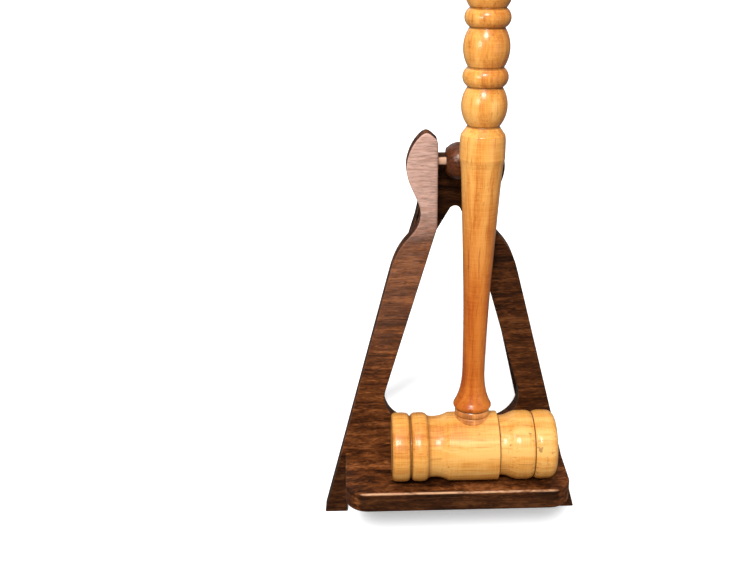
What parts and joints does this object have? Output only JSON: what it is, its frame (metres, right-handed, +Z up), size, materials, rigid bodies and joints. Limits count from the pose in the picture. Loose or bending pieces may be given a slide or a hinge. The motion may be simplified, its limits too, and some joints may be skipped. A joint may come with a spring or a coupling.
{
  "type": "turned mallet on hinged display stand",
  "caption": "Turned wooden mallet with a long beaded handle, leaning on a dark A-shaped wooden stand with a ledge and a hinged rear frame.",
  "frame": {"origin": "on the floor, under the middle of the object's bounding box with the stand open", "axes": "+Z up, +X to the right seen from the ledge side, +Y towards the rear frame"},
  "size_m": [0.2998, 0.2626, 0.6397],
  "materials": {
    "dark_stained_wood": "dark brown stain over open grain, satin",
    "dark_stained_ledge": "dark brown stain, rubbed pale on the front arris",
    "plug_wood": "stained end grain",
    "peg_wood": "unfinished beech",
    "pale_dowel": "unstained dowel, dry",
    "knuckle_wood": "dark stain with a waxed shine",
    "maple_barrel": "clear varnish, semi-gloss",
    "maple_handle": "amber varnish, gloss",
    "cherry_collar": "reddish varnish, gloss",
    "wedge_wood": "plain oak",
    "screw_steel": "plain steel"
  },
  "bodies": {
    "stand": {"front_frame": "dark_stained_wood", "shelf": "dark_stained_ledge", "shelf_screws": "screw_steel", "screw_plugs": "plug_wood", "shelf_pegs": "peg_wood", "hinge_dowel": "pale_dowel"},
    "rear_leg": {"rear_frame": "dark_stained_wood", "hinge_knuckle": "knuckle_wood"},
    "mallet": {"mallet_head": "maple_barrel", "mallet_handle": "maple_handle", "handle_collar": "cherry_collar", "handle_wedge": "wedge_wood"}
  },
  "joints": [
    {"name": "rear_fold", "type": "hinge", "parent": "stand", "child": "rear_leg", "pos_m": [0, 0.02956, 0.42576], "axis": [1, 0, 0], "range_deg": [-20, 0]},
    {"name": "mallet_tip", "type": "hinge", "parent": "stand", "child": "mallet", "pos_m": [0.0168, -0.08633, 0.12846], "axis": [1, 0, 0], "range_deg": [0, 110]}
  ]
}
